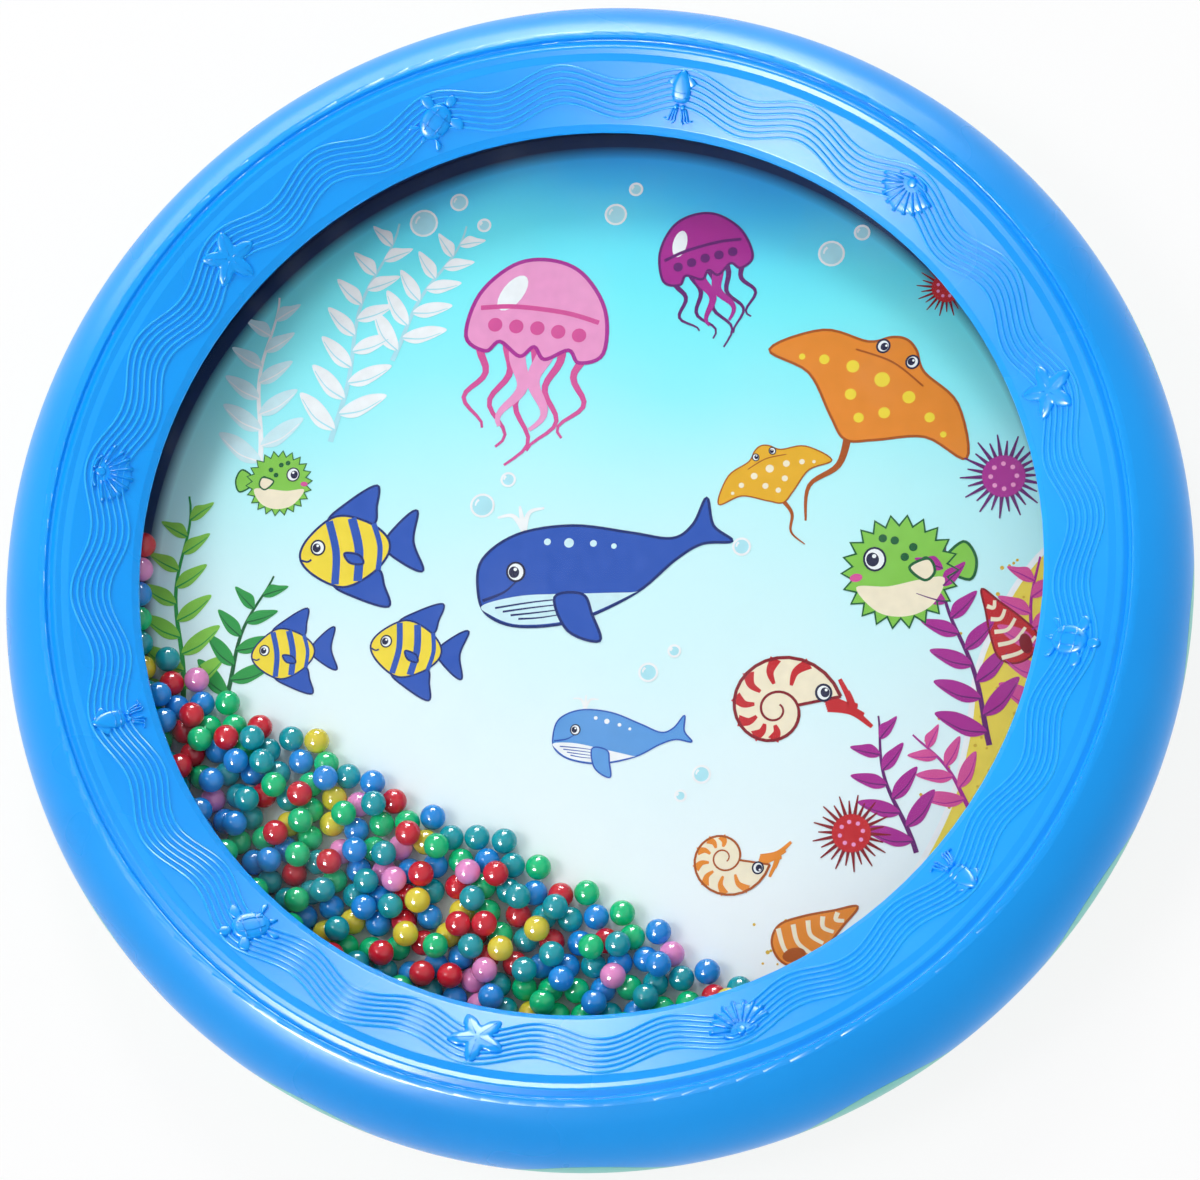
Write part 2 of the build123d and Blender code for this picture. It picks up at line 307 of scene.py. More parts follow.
def waterPrint(wash):
    material, tree = newMaterial("waterPrint")
    shader = addNode(tree, "ShaderNodeBsdfPrincipled", Roughness=wash["rough"])
    shader.inputs["Specular IOR Level"].default_value = paperShine
    place = addNode(tree, "ShaderNodeTexCoord")
    along = addNode(tree, "ShaderNodeVectorMath", operation="DOT_PRODUCT")
    along.inputs[1].default_value = (*wash["lean"], 0)
    tree.links.new(place.outputs["Object"], along.inputs[0])
    low, high = (edge * mm for edge in wash["span"])
    drift = spread(tree, noiseField(tree, wash["clouds"], 2.0), *wash["drift"])
    level = addNode(tree, "ShaderNodeMath", operation="ADD")
    tree.links.new(spread(tree, along.outputs["Value"], 0.0, 1.0, low, high), level.inputs[0])
    tree.links.new(drift, level.inputs[1])
    flat = addNode(tree, "ShaderNodeVectorMath", operation="MULTIPLY")
    flat.inputs[1].default_value = (1, 1, 0)
    tree.links.new(place.outputs["Object"], flat.inputs[0])
    radius = addNode(tree, "ShaderNodeVectorMath", operation="LENGTH")
    tree.links.new(flat.outputs["Vector"], radius.inputs[0])
    # painted shade: past the inner radius the water turns navy, for the shade under the rim's lip
    inner, outer = (edge * mm for edge in wash["shadeBand"])
    paintedShade = addNode(tree, "ShaderNodeMixRGB", Color2=wash["shadeNavy"])
    tree.links.new(spread(tree, radius.outputs["Value"], 0.0, 1.0, inner, outer), paintedShade.inputs["Fac"])
    tree.links.new(ramp(tree, level.outputs["Value"], wash["tones"]), paintedShade.inputs["Color1"])
    tree.links.new(paintedShade.outputs["Color"], shader.inputs["Base Color"])
    addBump(tree, shader, noiseField(tree, wash["grain"], 2.0), wash["strength"], wash["depth"])
    finishMaterial(tree, shader.outputs["BSDF"])
    return material


def inkPrint(look):
    material, tree = newMaterial("inkPrint")
    shader = addNode(tree, "ShaderNodeBsdfPrincipled")
    shader.inputs["Specular IOR Level"].default_value = paperShine
    ink = addNode(tree, "ShaderNodeAttribute", attribute_name="ink")
    grain = noiseField(tree, look["grain"], 4.0)
    printed = addNode(tree, "ShaderNodeMixRGB", blend_type="MULTIPLY", Fac=look["wear"])
    tree.links.new(ink.outputs["Color"], printed.inputs["Color1"])
    wear = ramp(tree, grain, [(0.3, look["worn"]), (0.7, look["full"])])
    tree.links.new(wear, printed.inputs["Color2"])
    tree.links.new(printed.outputs["Color"], shader.inputs["Base Color"])
    tree.links.new(spread(tree, grain, *look["rough"]), shader.inputs["Roughness"])
    finishMaterial(tree, shader.outputs["BSDF"])
    return material


inks = {
    "night": srgb(30, 32, 66), "white": srgb(250, 252, 252), "foam": srgb(214, 245, 250),
    "mist": srgb(180, 234, 244), "sand": srgb(246, 220, 84), "dune": srgb(252, 236, 140),
    "grit": srgb(222, 182, 60), "cream": srgb(252, 238, 208), "red": srgb(204, 36, 44),
    "wine": srgb(138, 20, 36), "magenta": srgb(176, 42, 148), "plum": srgb(104, 30, 112),
    "pink": srgb(244, 158, 206), "rose": srgb(222, 84, 156), "orange": srgb(240, 142, 44),
    "rust": srgb(176, 84, 22), "lemon": srgb(250, 222, 62), "amber": srgb(240, 180, 40),
    "leaf": srgb(46, 156, 74), "moss": srgb(20, 96, 52), "lime": srgb(136, 204, 78),
    "royal": srgb(44, 88, 184), "navy": srgb(26, 46, 112), "sky": srgb(96, 160, 226),
    "shadeNavy": waterWash["shadeNavy"],
}
printStack = {  # mm but for the count of patches
    "ground": 0.02,  # level of the sand on the sheet
    "lift": 0.07,    # level of the first figure
    "next": 0.001,   # from figure to figure, and from patch to patch in a figure
    "patches": 40,   # in a figure, after which the levels start again
    "step": 0.01,    # from layer to layer in a figure
    "edge": 0.8,     # bare margin of the sheet
    "line": 0.4,     # width of an outline
    "shadeBand": 1.8,   # width of the ring of painted shade at the edge
}
inkVerts, inkFaces, inkTones = [], [], []


def curve(points, closed=True, steps=6):
    count = len(points)
    path = []
    for i in range(count if closed else count - 1):
        near = [i - 1, i, i + 1, i + 2]
        near = [k % count if closed else min(max(k, 0), count - 1) for k in near]
        a, b, c, d = (points[k] for k in near)
        for s in range(steps):
            t = s / steps
            path.append(tuple(
                b[k] + 0.5 * t * (c[k] - a[k] + t * (2 * a[k] - 5 * b[k] + 4 * c[k] - d[k]
                                                     + t * (3 * (b[k] - c[k]) + d[k] - a[k])))
                for k in (0, 1)))
    return path if closed else path + [points[-1]]


def polar(radius, degrees, u=0.0, v=0.0):
    return (u + radius * math.cos(math.radians(degrees)), v + radius * math.sin(math.radians(degrees)))


def oval(x, y, wide, tall=None, turn=0, steps=18):
    tall = wide if tall is None else tall
    lean = math.radians(turn)
    loop = []
    for s in range(steps):
        a = 2 * math.pi * s / steps
        u, v = wide * math.cos(a), tall * math.sin(a)
        along = u * math.cos(lean) - v * math.sin(lean)
        across = u * math.sin(lean) + v * math.cos(lean)
        loop.append((x + along, y + across))
    return loop


# one flat patch of ink, or one stroke of it, on a layer of its own
def patch(layer, loop, ink):
    return (layer, loop, ink, None, True)


def stroke(layer, points, ink, start=None, end=None, closed=False):
    start = printStack["line"] if start is None else start
    return (layer, points, ink, (start, start if end is None else end), closed)


def outlined(layer, loop, ink, edge):
    return [patch(layer, loop, ink), stroke(layer + 0.5, loop, edge, closed=True)]


def strokeSides(points, widths, closed):
    count = len(points)
    sides = []
    for i in range(count):
        before = points[i - 1] if closed or i else points[0]
        after = points[(i + 1) % count] if closed or i < count - 1 else points[-1]
        run, rise = after[0] - before[0], after[1] - before[1]
        length = math.hypot(run, rise) or 1.0
        half = (widths[0] + (widths[1] - widths[0]) * i / (count - 1)) / 2
        sides.append((points[i][0] - rise / length * half, points[i][1] + run / length * half))
        sides.append((points[i][0] + rise / length * half, points[i][1] - run / length * half))
    return sides


# lays a figure on the sheet, drawn in at the margin where it would run past it
def press(figure, lift, x, y, turn=0, grow=1.0, flip=1):
    lean = math.radians(turn)
    reach = sheetRadius - printStack["edge"]

    def lay(points, level):
        first = len(inkVerts)
        for u, v in points:
            u, v = u * grow * flip, v * grow
            px = x + u * math.cos(lean) - v * math.sin(lean)
            py = y + u * math.sin(lean) + v * math.cos(lean)
            far = math.hypot(px, py)
            if far > reach:
                px, py = px * reach / far, py * reach / far
            inkVerts.append((px, py, level))
        return first

    for order, (layer, points, ink, widths, closed) in enumerate(figure):
        raised = printStack["step"] * layer + printStack["next"] * (order % printStack["patches"])
        level = sheetTop + lift + raised
        if widths is None:
            triangles = tessellate_polygon([[Vector((u, v, 0)) for u, v in points]])
            first = lay(points, level)
            faces = [tuple(first + k for k in triangle) for triangle in triangles]
        else:
            count = len(points)
            first = lay(strokeSides(points, widths, closed), level)
            faces = []
            for i in range(count if closed else count - 1):
                k = (i + 1) % count
                faces.append((first + 2 * i, first + 2 * i + 1, first + 2 * k + 1, first + 2 * k))
        inkFaces.extend(faces)
        inkTones.extend([inks[ink]] * len(faces))


def eye(x, y, r, look=0.2):
    ball = oval(x, y, r, r * 1.1)
    return [
        patch(6, ball, "white"),
        stroke(6.5, ball, "night", 0.3, closed=True),
        patch(7, oval(x + look * r, y, r * 0.6, r * 0.68), "night"),
        patch(8, oval(x + (look + 0.2) * r, y + r * 0.3, r * 0.2), "white"),
    ]


def wavyLine(x, y, length, sway, waves, lead=0.0, steps=16):
    path = []
    for s in range(steps + 1):
        share = s / steps
        swing = sway * math.sin(lead + waves * 2 * math.pi * share) * (0.3 + share)
        path.append((x + swing, y - length * share))
    return path


def jellyfish(bell, frill, edge):
    dome = curve([
        (-7.2, 0), (-6.6, 4.6), (-3.6, 8.2), (0, 9.2), (3.6, 8.2), (6.6, 4.6), (7.2, 0),
        (4.9, -1.3), (3.6, -0.1), (1.3, -1.4), (0, -0.2), (-1.3, -1.4), (-3.6, -0.1), (-4.9, -1.3),
    ])
    figure = []
    for k in range(-2, 3):
        figure.append(stroke(1, wavyLine(k * 2.6, 0, 13 - abs(k) * 1.8, 1.1, 1.6, k), frill, 0.9, 0.25))
    for k in (-1, 1):
        figure.append(stroke(2, wavyLine(k * 1.2, 0, 9, 1.0, 1.2, k * 2), bell, 2.0, 0.4))
    figure += outlined(3, dome, bell, edge)
    figure.append(patch(4, oval(-3.2, 5.2, 1.1, 2.2, -28), "white"))
    figure += [patch(4, oval(k * 2.2, 1.8 - abs(k) * 0.1, 0.75), frill) for k in (-2, -1, 0, 1, 2)]
    figure.append(stroke(4, curve([(-6.2, 3.2), (-2.6, 3.8), (2.6, 3.8), (6.2, 3.2)], False), frill, 0.5))
    return figure


def whale(back, belly, edge):
    body = curve([
        (-17, 0.6), (-15.6, 5.2), (-10, 7.8), (-2, 7.4), (6, 4.6), (11.5, 2.6), (14.8, 4.0), (17.4, 7.4),
        (17.6, 3.2), (19.8, 0.4), (15.6, 0.9), (11.4, -0.6), (5, -4.2), (-4, -6.4), (-12, -5.6), (-16.2, -3),
    ])
    under = curve([
        (-16.6, -1.4), (-11, -1.2), (-4, -2.4), (4, -3.9), (4.6, -4.2), (-4, -6.1), (-12, -5.3), (-16, -2.9),
    ])
    figure = outlined(2, body, back, edge)
    figure.append(patch(3, under, belly))
    for k in range(4):
        groove = curve([(-15 + k, -2.2 - 0.75 * k), (-9, -2.5 - 0.8 * k), (-2 - k, -3.3 - 0.6 * k)], False)
        figure.append(stroke(4, groove, edge, 0.3, 0.12))
    fin = curve([(-6.4, -2.4), (-5.4, -7.6), (-1.2, -10), (-1.6, -6), (-2.4, -2.8)])
    figure += outlined(4.6, fin, back, edge)
    figure.append(stroke(5, curve([(-16.6, -0.8), (-13.4, -0.2), (-11.4, 1.0)], False), edge, 0.5, 0.2))
    for x, y, r in ((-3, 5, 0.7), (0.4, 4.2, 0.5), (-6, 5.8, 0.5), (3.2, 3.2, 0.4)):
        figure.append(patch(3, oval(x, y, r), belly))
    for k in (-1, 0, 1):
        jet = curve([(-9, 8.2), (-9 + k * 1.2, 10.6), (-9 + k * 3.4, 11.8 - abs(k))], False)
        figure.append(stroke(1, jet, "white", 0.9, 0.3))
    return figure + eye(-11.2, 2.4, 1.25, -0.2)


def seaRay(back, spot, edge):
    wings = curve([
        (0, 9.4), (-2.2, 8.6), (-5, 6.2), (-12, 4.4), (-17.6, -2.4), (-10.4, -2.6), (-4, -6.8),
        (0, -9), (4, -6.8), (10.4, -2.6), (17.6, -2.4), (12, 4.4), (5, 6.2), (2.2, 8.6),
    ])
    figure = [stroke(1, curve([(0, -8), (1.2, -13), (-1, -18), (1.4, -23)], False), edge, 1.3, 0.3)]
    figure += outlined(2, wings, back, edge)
    for x, y, r in ((0, 2, 1.2), (-5, 1.6, 1.0), (5, 1.6, 1.0), (-3, -2.4, 0.9), (3, -2.4, 0.9), (0, -5, 0.8),
                    (-9.4, 0.4, 0.8), (9.4, 0.4, 0.8), (-12.6, -0.9, 0.5), (12.6, -0.9, 0.5)):
        figure.append(patch(3, oval(x, y, r), spot))
    figure.append(stroke(3, curve([(-6, 4.2), (0, 5.2), (6, 4.2)], False), edge, 0.3))
    return figure + eye(-2.6, 6.7, 0.95) + eye(2.6, 6.7, 0.95, -0.2)


def bandedFish(body, band, edge):
    side = curve([
        (-8.4, 0), (-6.4, 3.4), (-1.6, 6.2), (3.4, 4.6), (6.6, 1.5),
        (6.6, -1.5), (3.4, -4.6), (-1.6, -6.2), (-6.4, -3.4),
    ])
    tail = curve([(6, 0), (9, 3.6), (12.2, 5.2), (11, 0), (12.2, -5.2), (9, -3.6)])
    figure = outlined(1, tail, band, edge)
    for k in (-1, 1):
        fin = curve([(-3, 5.4 * k), (0.6, 8.4 * k), (5.8, 10.6 * k), (5.4, 7 * k), (4.2, 3.8 * k)])
        figure += outlined(1.2, fin, band, edge)
    figure += outlined(2, side, body, edge)
    for x, wide in ((-2.9, 1.3), (1.0, 1.5), (4.6, 0.9)):
        tall = 6.0 * math.sqrt(max(0.0, 1 - ((x + 1) / 8.2) ** 2)) - 0.3
        bar = curve([(x, tall), (x + 0.7, 0), (x, -tall)], False)
        figure.append(stroke(3, bar, band, wide))
    figure.append(stroke(4, curve([(-8.2, -0.6), (-7.2, -1.0), (-6.5, -0.7)], False), edge, 0.35))
    figure += outlined(4, curve([(-0.8, -0.4), (1.6, -1.0), (2.2, -2.6), (0, -2.2)]), band, edge)
    return figure + eye(-5.2, 1.2, 1.15, -0.2)


def puffer(back, belly, edge):
    corners = 44
    prickles = [polar(8.2 if k % 2 else 6.7, 360 * k / corners) for k in range(corners)]
    underside = curve([(-6.4, -1.2), (-2, -1.8), (2.6, -1.6), (6, -2), (3.8, -5.4), (0, -6.5), (-4, -5.2)])
    figure = outlined(1, curve([(6, 0), (9.4, 2.8), (10.8, 0), (9.4, -2.8)]), back, edge)
    figure += outlined(2, prickles, back, edge)
    figure.append(patch(3, underside, belly))
    for x, y in ((0, 4.6), (2.4, 3.2), (3.8, 1), (1, 2), (-1.6, 5.2)):
        figure.append(patch(4, oval(x, y, 0.6), edge))
    figure += outlined(4, curve([(1.4, 0.4), (4.2, 1.2), (4.8, -0.8), (3.2, -1.8)]), belly, edge)
    figure.append(patch(4, oval(-6.2, 0.2, 0.9, 0.6), "rose"))
    return figure + eye(-3.2, 2.4, 1.5, -0.2)


def nautilus(shell, stripe, edge):
    tightness = 0.17
    turnSteps = 28

    def spiral(a, width, twist=0.0):
        return polar(width * math.exp(-tightness * a), math.degrees(a + twist))

    whorl = [spiral(2 * math.pi * k / turnSteps, 8.4) for k in range(60)]
    coil = whorl[:turnSteps + 1]
    figure = []
    for k in range(5):
        arm = curve([(6.6, -1 + k * 0.3), (9.4, -2.2 + k * 0.2), (11.5 - k * 0.7, -4.6 + k * 1.7)], False)
        figure.append(stroke(1, arm, stripe, 1.3, 0.5))
    figure += outlined(2, coil, shell, edge)
    for k in range(7):
        a = 0.75 + k * 0.62
        bar = curve([spiral(a, 8.3), spiral(a, 6.25, 0.14), spiral(a, 4.2, 0.05)], False)
        figure.append(stroke(3, bar, stripe, 1.5, 0.4))
    figure.append(stroke(4, whorl, edge, 0.45, 0.25))
    return figure + eye(6.4, 0.9, 0.95)


def urchin(spine, body):
    spines = 26
    figure = []
    for k in range(spines):
        turn = 360 * k / spines
        far = 6.4 if k % 2 else 5.4
        figure.append(stroke(1, [polar(1.5, turn), polar(far, turn)], spine, 0.8, 0.2))
    figure.append(patch(2, oval(0, 0, 3.2), body))
    figure += [patch(3, oval(*polar(1.9, 45 * k), 0.35), "pink") for k in range(8)]
    return figure


def turretShell(shell, band, edge):
    cone = curve([
        (0, 9.4), (-1.6, 5.4), (-3.4, 0.6), (-4.2, -3.6), (-2.2, -6.2),
        (1.4, -6.4), (4.2, -3.6), (3.4, 0.6), (1.6, 5.4),
    ])
    figure = outlined(1, cone, shell, edge)
    for k in range(5):
        y, half = 6 - 2.5 * k, 0.9 + 0.72 * k
        figure.append(stroke(2, curve([(-half, y), (0, y - 0.9), (half, y + 0.2)], False), band, 0.85, 0.6))
    figure.append(patch(3, oval(1.5, -4, 1.2, 2, -18), edge))
    return figure


kelpForm = {  # mm, but for the bend in radians per mm and the steps
    "sway": 2.2, "bend": 0.17, "steps": 24,
    "pitch": 3.4, "foot": 2.5, "bare": 4,  # between leaves, below the first, and without leaves in all
    "leaf": 8.6, "taper": 4.2,             # longest leaf, and how much shorter the last one is
}


def kelp(height, leaf, vein, lead=0.0):
    def stalk(v):
        return kelpForm["sway"] * math.sin(lead + v * kelpForm["bend"]) * (v / height)

    steps = kelpForm["steps"]
    levels = [height * s / steps for s in range(steps + 1)]
    figure = [stroke(1, [(stalk(v), v) for v in levels], vein, 1.1, 0.4)]
    leaves = int(height / kelpForm["pitch"])
    for k in range(leaves):
        v = kelpForm["foot"] + k * (height - kelpForm["bare"]) / leaves
        side = 1 if k % 2 else -1
        long = kelpForm["leaf"] - kelpForm["taper"] * k / leaves
        x = stalk(v)
        reach = side * long
        blade = curve([
            (x, v), (x + reach * 0.46, v + 0.3), (x + reach, v + long * 0.66),
            (x + reach * 0.58, v + long * 0.62), (x + reach * 0.16, v + 2.6),
        ])
        midrib = curve([(x, v), (x + reach * 0.5, v + 1.6), (x + reach * 0.9, v + long * 0.55)], False)
        figure.append(patch(2 + 0.02 * k, blade, leaf))
        figure.append(stroke(3, midrib, vein, 0.34, 0.14))
    return figure


def bubble(r):
    return [
        patch(1, oval(0, 0, r), "mist"),
        stroke(2, oval(0, 0, r), "white", 0.45, closed=True),
        stroke(3, oval(0, 0, r * 0.62)[6:10], "white", 0.5, 0.3),
    ]


sandGrit = {
    "seed": 5, "tries": 120,
    "turns": (-68, 2),     # degrees
    "radii": (70, 89),     # mm
    "size": (0.2, 0.42),   # mm
    "bounds": (60, -66),   # mm, grit falls to the right of the first or below the second
}


def sandBank():
    top = curve([
        (18, -92), (34, -80), (47, -72), (58, -60), (66, -46),
        (70, -32), (72, -20), (77, -8), (84, 2), (92, 8),
    ], False)
    crest = curve([
        (30, -92), (44, -82), (56, -72), (66, -59), (74, -46), (78, -34), (82, -22), (92, -12),
    ], False)
    shore = [polar(sheetRadius, turn) for turn in range(4, -79, -3)]
    inland = [polar(sheetRadius, turn) for turn in range(-9, -72, -3)]
    dice = random.Random(sandGrit["seed"])
    right, below = sandGrit["bounds"]
    figure = [
        patch(0, top + shore, "sand"),
        patch(0.3, crest + inland, "dune"),
        stroke(0.6, top, "white", 1.1),
    ]
    for _ in range(sandGrit["tries"]):
        turn = dice.uniform(*sandGrit["turns"])
        x, y = polar(dice.uniform(*sandGrit["radii"]), turn)
        if x > right or y < below:
            figure.append(patch(0.8, oval(x, y, dice.uniform(*sandGrit["size"]), steps=8), "grit"))
    return figure


# a plain navy ring of painted shade that closes the picture under the rim's lip
def shadeRing():
    middle = sheetRadius - printStack["edge"] - printStack["shadeBand"] / 2
    return [stroke(9, oval(0, 0, middle, steps=180), "shadeNavy", printStack["shadeBand"], closed=True)]


# figure, place in mm, turn in degrees, scale, and -1 where it faces the other way
seaPicture = [
    (kelp(46, "white", "mist", 0.4), -52, 30, -14),
    (kelp(36, "foam", "white", 2.0), -66, 24, -2),
    (kelp(34, "white", "mist", 3.0), -40, 46, -26, 0.9),
    (kelp(44, "lime", "leaf", 1.0), -80, -24, 2),
    (kelp(30, "leaf", "moss", 2.6), -72, -22, -16, 0.9),
    (kelp(40, "magenta", "plum", 0.0), 74, -34, 12),
    (kelp(32, "rose", "magenta", 1.7), 85, -30, 4),
    (kelp(30, "magenta", "plum", 2.4), 60, -54, 18, 0.9),
    (kelp(22, "rose", "magenta", 0.6), 70, -46, 30, 0.8),
    (jellyfish("pink", "rose", "magenta"), -12, 48, -10, 1.9),
    (jellyfish("magenta", "plum", "plum"), 22, 62, 14, 1.25),
    (whale("royal", "foam", "navy"), 0, 2, 10, 1.35),
    (whale("sky", "white", "royal"), 4, -31, -4, 0.72),
    (seaRay("orange", "lemon", "rust"), 54, 36, -32, 1.25),
    (seaRay("amber", "cream", "rust"), 34, 20, 20, 0.66),
    (bandedFish("lemon", "royal", "navy"), -48, 8, 6, 1.15),
    (bandedFish("lemon", "royal", "navy"), -36, -12, -8, 0.9),
    (bandedFish("lemon", "royal", "navy"), -60, -12, 4, 0.8),
    (puffer("lime", "cream", "moss"), 58, 0, 8, 1.35),
    (puffer("lime", "cream", "moss"), -62, 22, -6, 0.8, -1),
    (nautilus("cream", "red", "wine"), 34, -26, 10, 1.5),
    (nautilus("cream", "orange", "rust"), 24, -54, 170, 1.05, -1),
    (urchin("plum", "magenta"), 78, 18, 0, 1.3),
    (urchin("wine", "red"), 48, -50, 10, 1.15),
    (urchin("wine", "red"), 68, 56, 20, 0.9),
    (turretShell("red", "cream", "wine"), 78, -12, 30, 1.0),
    (turretShell("orange", "cream", "rust"), 40, -69, -60, 1.1),
]
bubbleSpots = [  # place and radius, mm
    (-34, 74, 2.6), (-27, 78, 1.6), (-22, 73, 1.2), (4, 74, 2.0), (8, 79, 1.2), (46, 64, 2.4), (52, 68, 1.4),
    (-22, 16, 2.2), (-17, 21, 1.3), (10, -18, 1.7), (15, -14, 1.1), (20, -38, 1.6), (16, -42, 1.0),
    (28, 6, 1.6),
]


def printPicture():
    bubbles = [(bubble(r), x, y) for x, y, r in bubbleSpots]
    press(sandBank(), printStack["ground"], 0, 0)
    lift = printStack["lift"]
    for figure, *spot in seaPicture + bubbles + [(shadeRing(), 0, 0)]:
        press(figure, lift, *spot)
        lift += printStack["next"]
    print("picture has", len(inkFaces), "ink faces")
    picture = newPiece("sea_print", inkVerts, inkFaces, inkPrint(inkLook), False)
    tones = picture.data.attributes.new("ink", "FLOAT_COLOR", "FACE")
    tones.data.foreach_set("color", [channel for tone in inkTones for channel in tone])


coat("picture_sheet", waterPrint(waterWash))
printPicture()

# moulded relief on the sloping band of the front rim

bandPlace = {"foot": (86.5, windowLevel + 2.2), "top": (97.4, windowLevel + 7.6)}  # radius and level, mm
waveLines = {
    "count": 7,
    "first": 88.94,  # mm, radius of the innermost line
    "pitch": 1.087,  # mm between lines
    "swing": 1.44,   # mm either way
    "waves": 24,     # round the rim
    "crest": 10.05,  # degrees, bearing of an inward crest
    "half": 0.3,     # mm, half a line's width
    "high": 0.5,     # mm
    "steps": 20,     # in a wave
}
bandRun = bandPlace["top"][0] - bandPlace["foot"][0]
bandClimb = bandPlace["top"][1] - bandPlace["foot"][1]
bandSlope = math.atan2(bandClimb, bandRun)
bandLength = math.hypot(bandRun, bandClimb)
# shares of half the width and of the height
halfRound = [(-1.0, -0.5), (-0.72, 0.55), (0.0, 1.0), (0.72, 0.55), (1.0, -0.5)]


# bearing in radians, rise up the slope from its foot, height off its face
def onBand(bearing, rise, height):
    radius = bandPlace["foot"][0] + rise * math.cos(bandSlope) - height * math.sin(bandSlope)
    level = bandPlace["foot"][1] + rise * math.sin(bandSlope) + height * math.cos(bandSlope)
    return (radius * math.cos(bearing), radius * math.sin(bearing), level)


def buildWaveLines(look):
    verts, faces = [], []
    steps = look["waves"] * look["steps"]
    across = len(halfRound)
    for i in range(look["count"]):
        first = len(verts)
        for s in range(steps):
            bearing = 2 * math.pi * s / steps
            swing = math.cos(look["waves"] * (bearing - math.radians(look["crest"])))
            radius = look["first"] + look["pitch"] * i - look["swing"] * swing
            rise = (radius - bandPlace["foot"][0]) / math.cos(bandSlope)
            for side, high in halfRound:
                verts.append(onBand(bearing, rise + side * look["half"], high * look["high"]))
        for s in range(steps):
            here, ahead = first + s * across, first + (s + 1) % steps * across
            faces += [(here + k, ahead + k, ahead + k + 1, here + k + 1) for k in range(across - 1)]
    # the wave lines take the lighter blue of painted highlight
    newPiece("wave_lines", verts, faces, plastics["lineBlueHighlight"])


reliefVerts, reliefFaces = [], []
puffRings = [(1.0, -0.3), (0.95, 0.5), (0.86, 0.86), (0.6, 1.0)]  # share of the outline, share of the height
ribEnd = -0.2  # mm, both ends of a rib lie below the band's face


# a flat-topped boss inside an outline
def puff(loop, height):
    u = sum(point[0] for point in loop) / len(loop)
    v = sum(point[1] for point in loop) / len(loop)
    rings = []
    for share, up in puffRings:
        rings.append([(u + (a - u) * share, v + (b - v) * share, height * up) for a, b in loop])
    return rings + [[(u, v, height)]]


# a half-round rib that tapers along its path
def rib(points, start, end, height):
    rings = [[(*points[0], ribEnd)]]
    count = len(points)
    for i in range(count):
        before, after = points[max(i - 1, 0)], points[min(i + 1, count - 1)]
        run, climb = after[0] - before[0], after[1] - before[1]
        reach = (start + (end - start) * i / (count - 1)) / 2 / math.hypot(run, climb)
        u, v = points[i]
        lean, lie = climb * reach, run * reach
        rings.append([(u - lean * side, v + lie * side, height * up) for side, up in halfRound])
    return rings + [[(*points[-1], ribEnd)]]


def emboss(figure, bearing, turn, grow, high):
    lean = math.radians(turn)
    for rings in figure:
        closed = len(rings[0]) > 1
        starts = []
        for ring in rings:
            starts.append(len(reliefVerts))
            for u, v, height in ring:
                along = grow * (u * math.cos(lean) - v * math.sin(lean))
                rise = bandLength / 2 + grow * (u * math.sin(lean) + v * math.cos(lean))
                radius = bandPlace["foot"][0] + rise * math.cos(bandSlope)
                reliefVerts.append(onBand(math.radians(bearing) - along / radius, rise, height * high))
        for near, far, ring, other in zip(starts, starts[1:], rings, rings[1:]):
            many = max(len(ring), len(other))
            for k in range(many if closed else many - 1):
                n = (k + 1) % many
                corners = [near + (k if len(ring) > 1 else 0), near + (n if len(ring) > 1 else 0),
                           far + (n if len(other) > 1 else 0), far + (k if len(other) > 1 else 0)]
                reliefFaces.append(tuple(dict.fromkeys(corners)))


def starfishRelief():
    outline = []
    for k in range(5):
        arm = 90 + 72 * k
        outline += [polar(2.9, arm - 36), polar(4.4, arm - 17), polar(5.7, arm), polar(4.4, arm + 17)]
    figure = [puff(curve(outline, steps=4), 0.65)]
    for k in range(5):
        figure.append(rib([polar(r, 90 + 72 * k) for r in (0.6, 1.8, 3.2, 4.6)], 0.8, 0.4, 0.75))
    return figure


def scallopRelief():
    fan = [polar(7.4 - 0.012 * abs(a), -90 + a, 0, 3.2) for a in range(-78, 79, 12)]
    figure = [puff(fan + [(1.5, 4.0), (0, 4.4), (-1.5, 4.0)], 0.3)]
    for k in range(-4, 5):
        reach = (2.2, 4.0, 5.8, 7.6 - 0.2 * abs(k))
        figure.append(rib([polar(r, -90 + 18.5 * k, 0, 3.2) for r in reach], 0.45, 1.15, 0.8))
    for side in (-1, 1):
        ear = curve([(side * 0.4, 4.6), (side * 2.2, 4.4), (side * 3.6, 3.4)], False, 3)
        figure.append(rib(ear, 0.8, 0.9, 0.75))
    return figure + [puff(oval(0, 3.0, 1.2, steps=12), 0.6)]


def squidRelief():
    mantle = curve([
        (0, 6.4), (-1.5, 4.4), (-2.1, 1.6), (-1.7, -0.8), (0, -1.3), (1.7, -0.8), (2.1, 1.6), (1.5, 4.4),
    ], steps=3)
    figure = [puff(mantle, 0.7)]
    for side in (-1, 1):
        figure.append(puff([(side * 0.8, 5.6), (side * 3.4, 3.4), (side * 1.9, 2.2)], 0.45))
        figure.append(puff(oval(side * 0.75, -2.0, 0.55, steps=10), 0.7))
        for k in (1, 2, 3):
            arm = curve([
                (side * 0.45 * k, -2.4), (side * (0.6 * k + 0.2), -4.2),
                (side * 0.75 * k, -5.0), (side * (0.95 * k + 0.3), -6.2 + 0.5 * k),
            ], False, 3)
            figure.append(rib(arm, 0.7, 0.45, 0.55))
    for level in (0.2, 1.4):
        figure.append(rib([(-1.7, level), (0, level - 0.4), (1.7, level)], 0.4, 0.4, 0.9))
    return figure


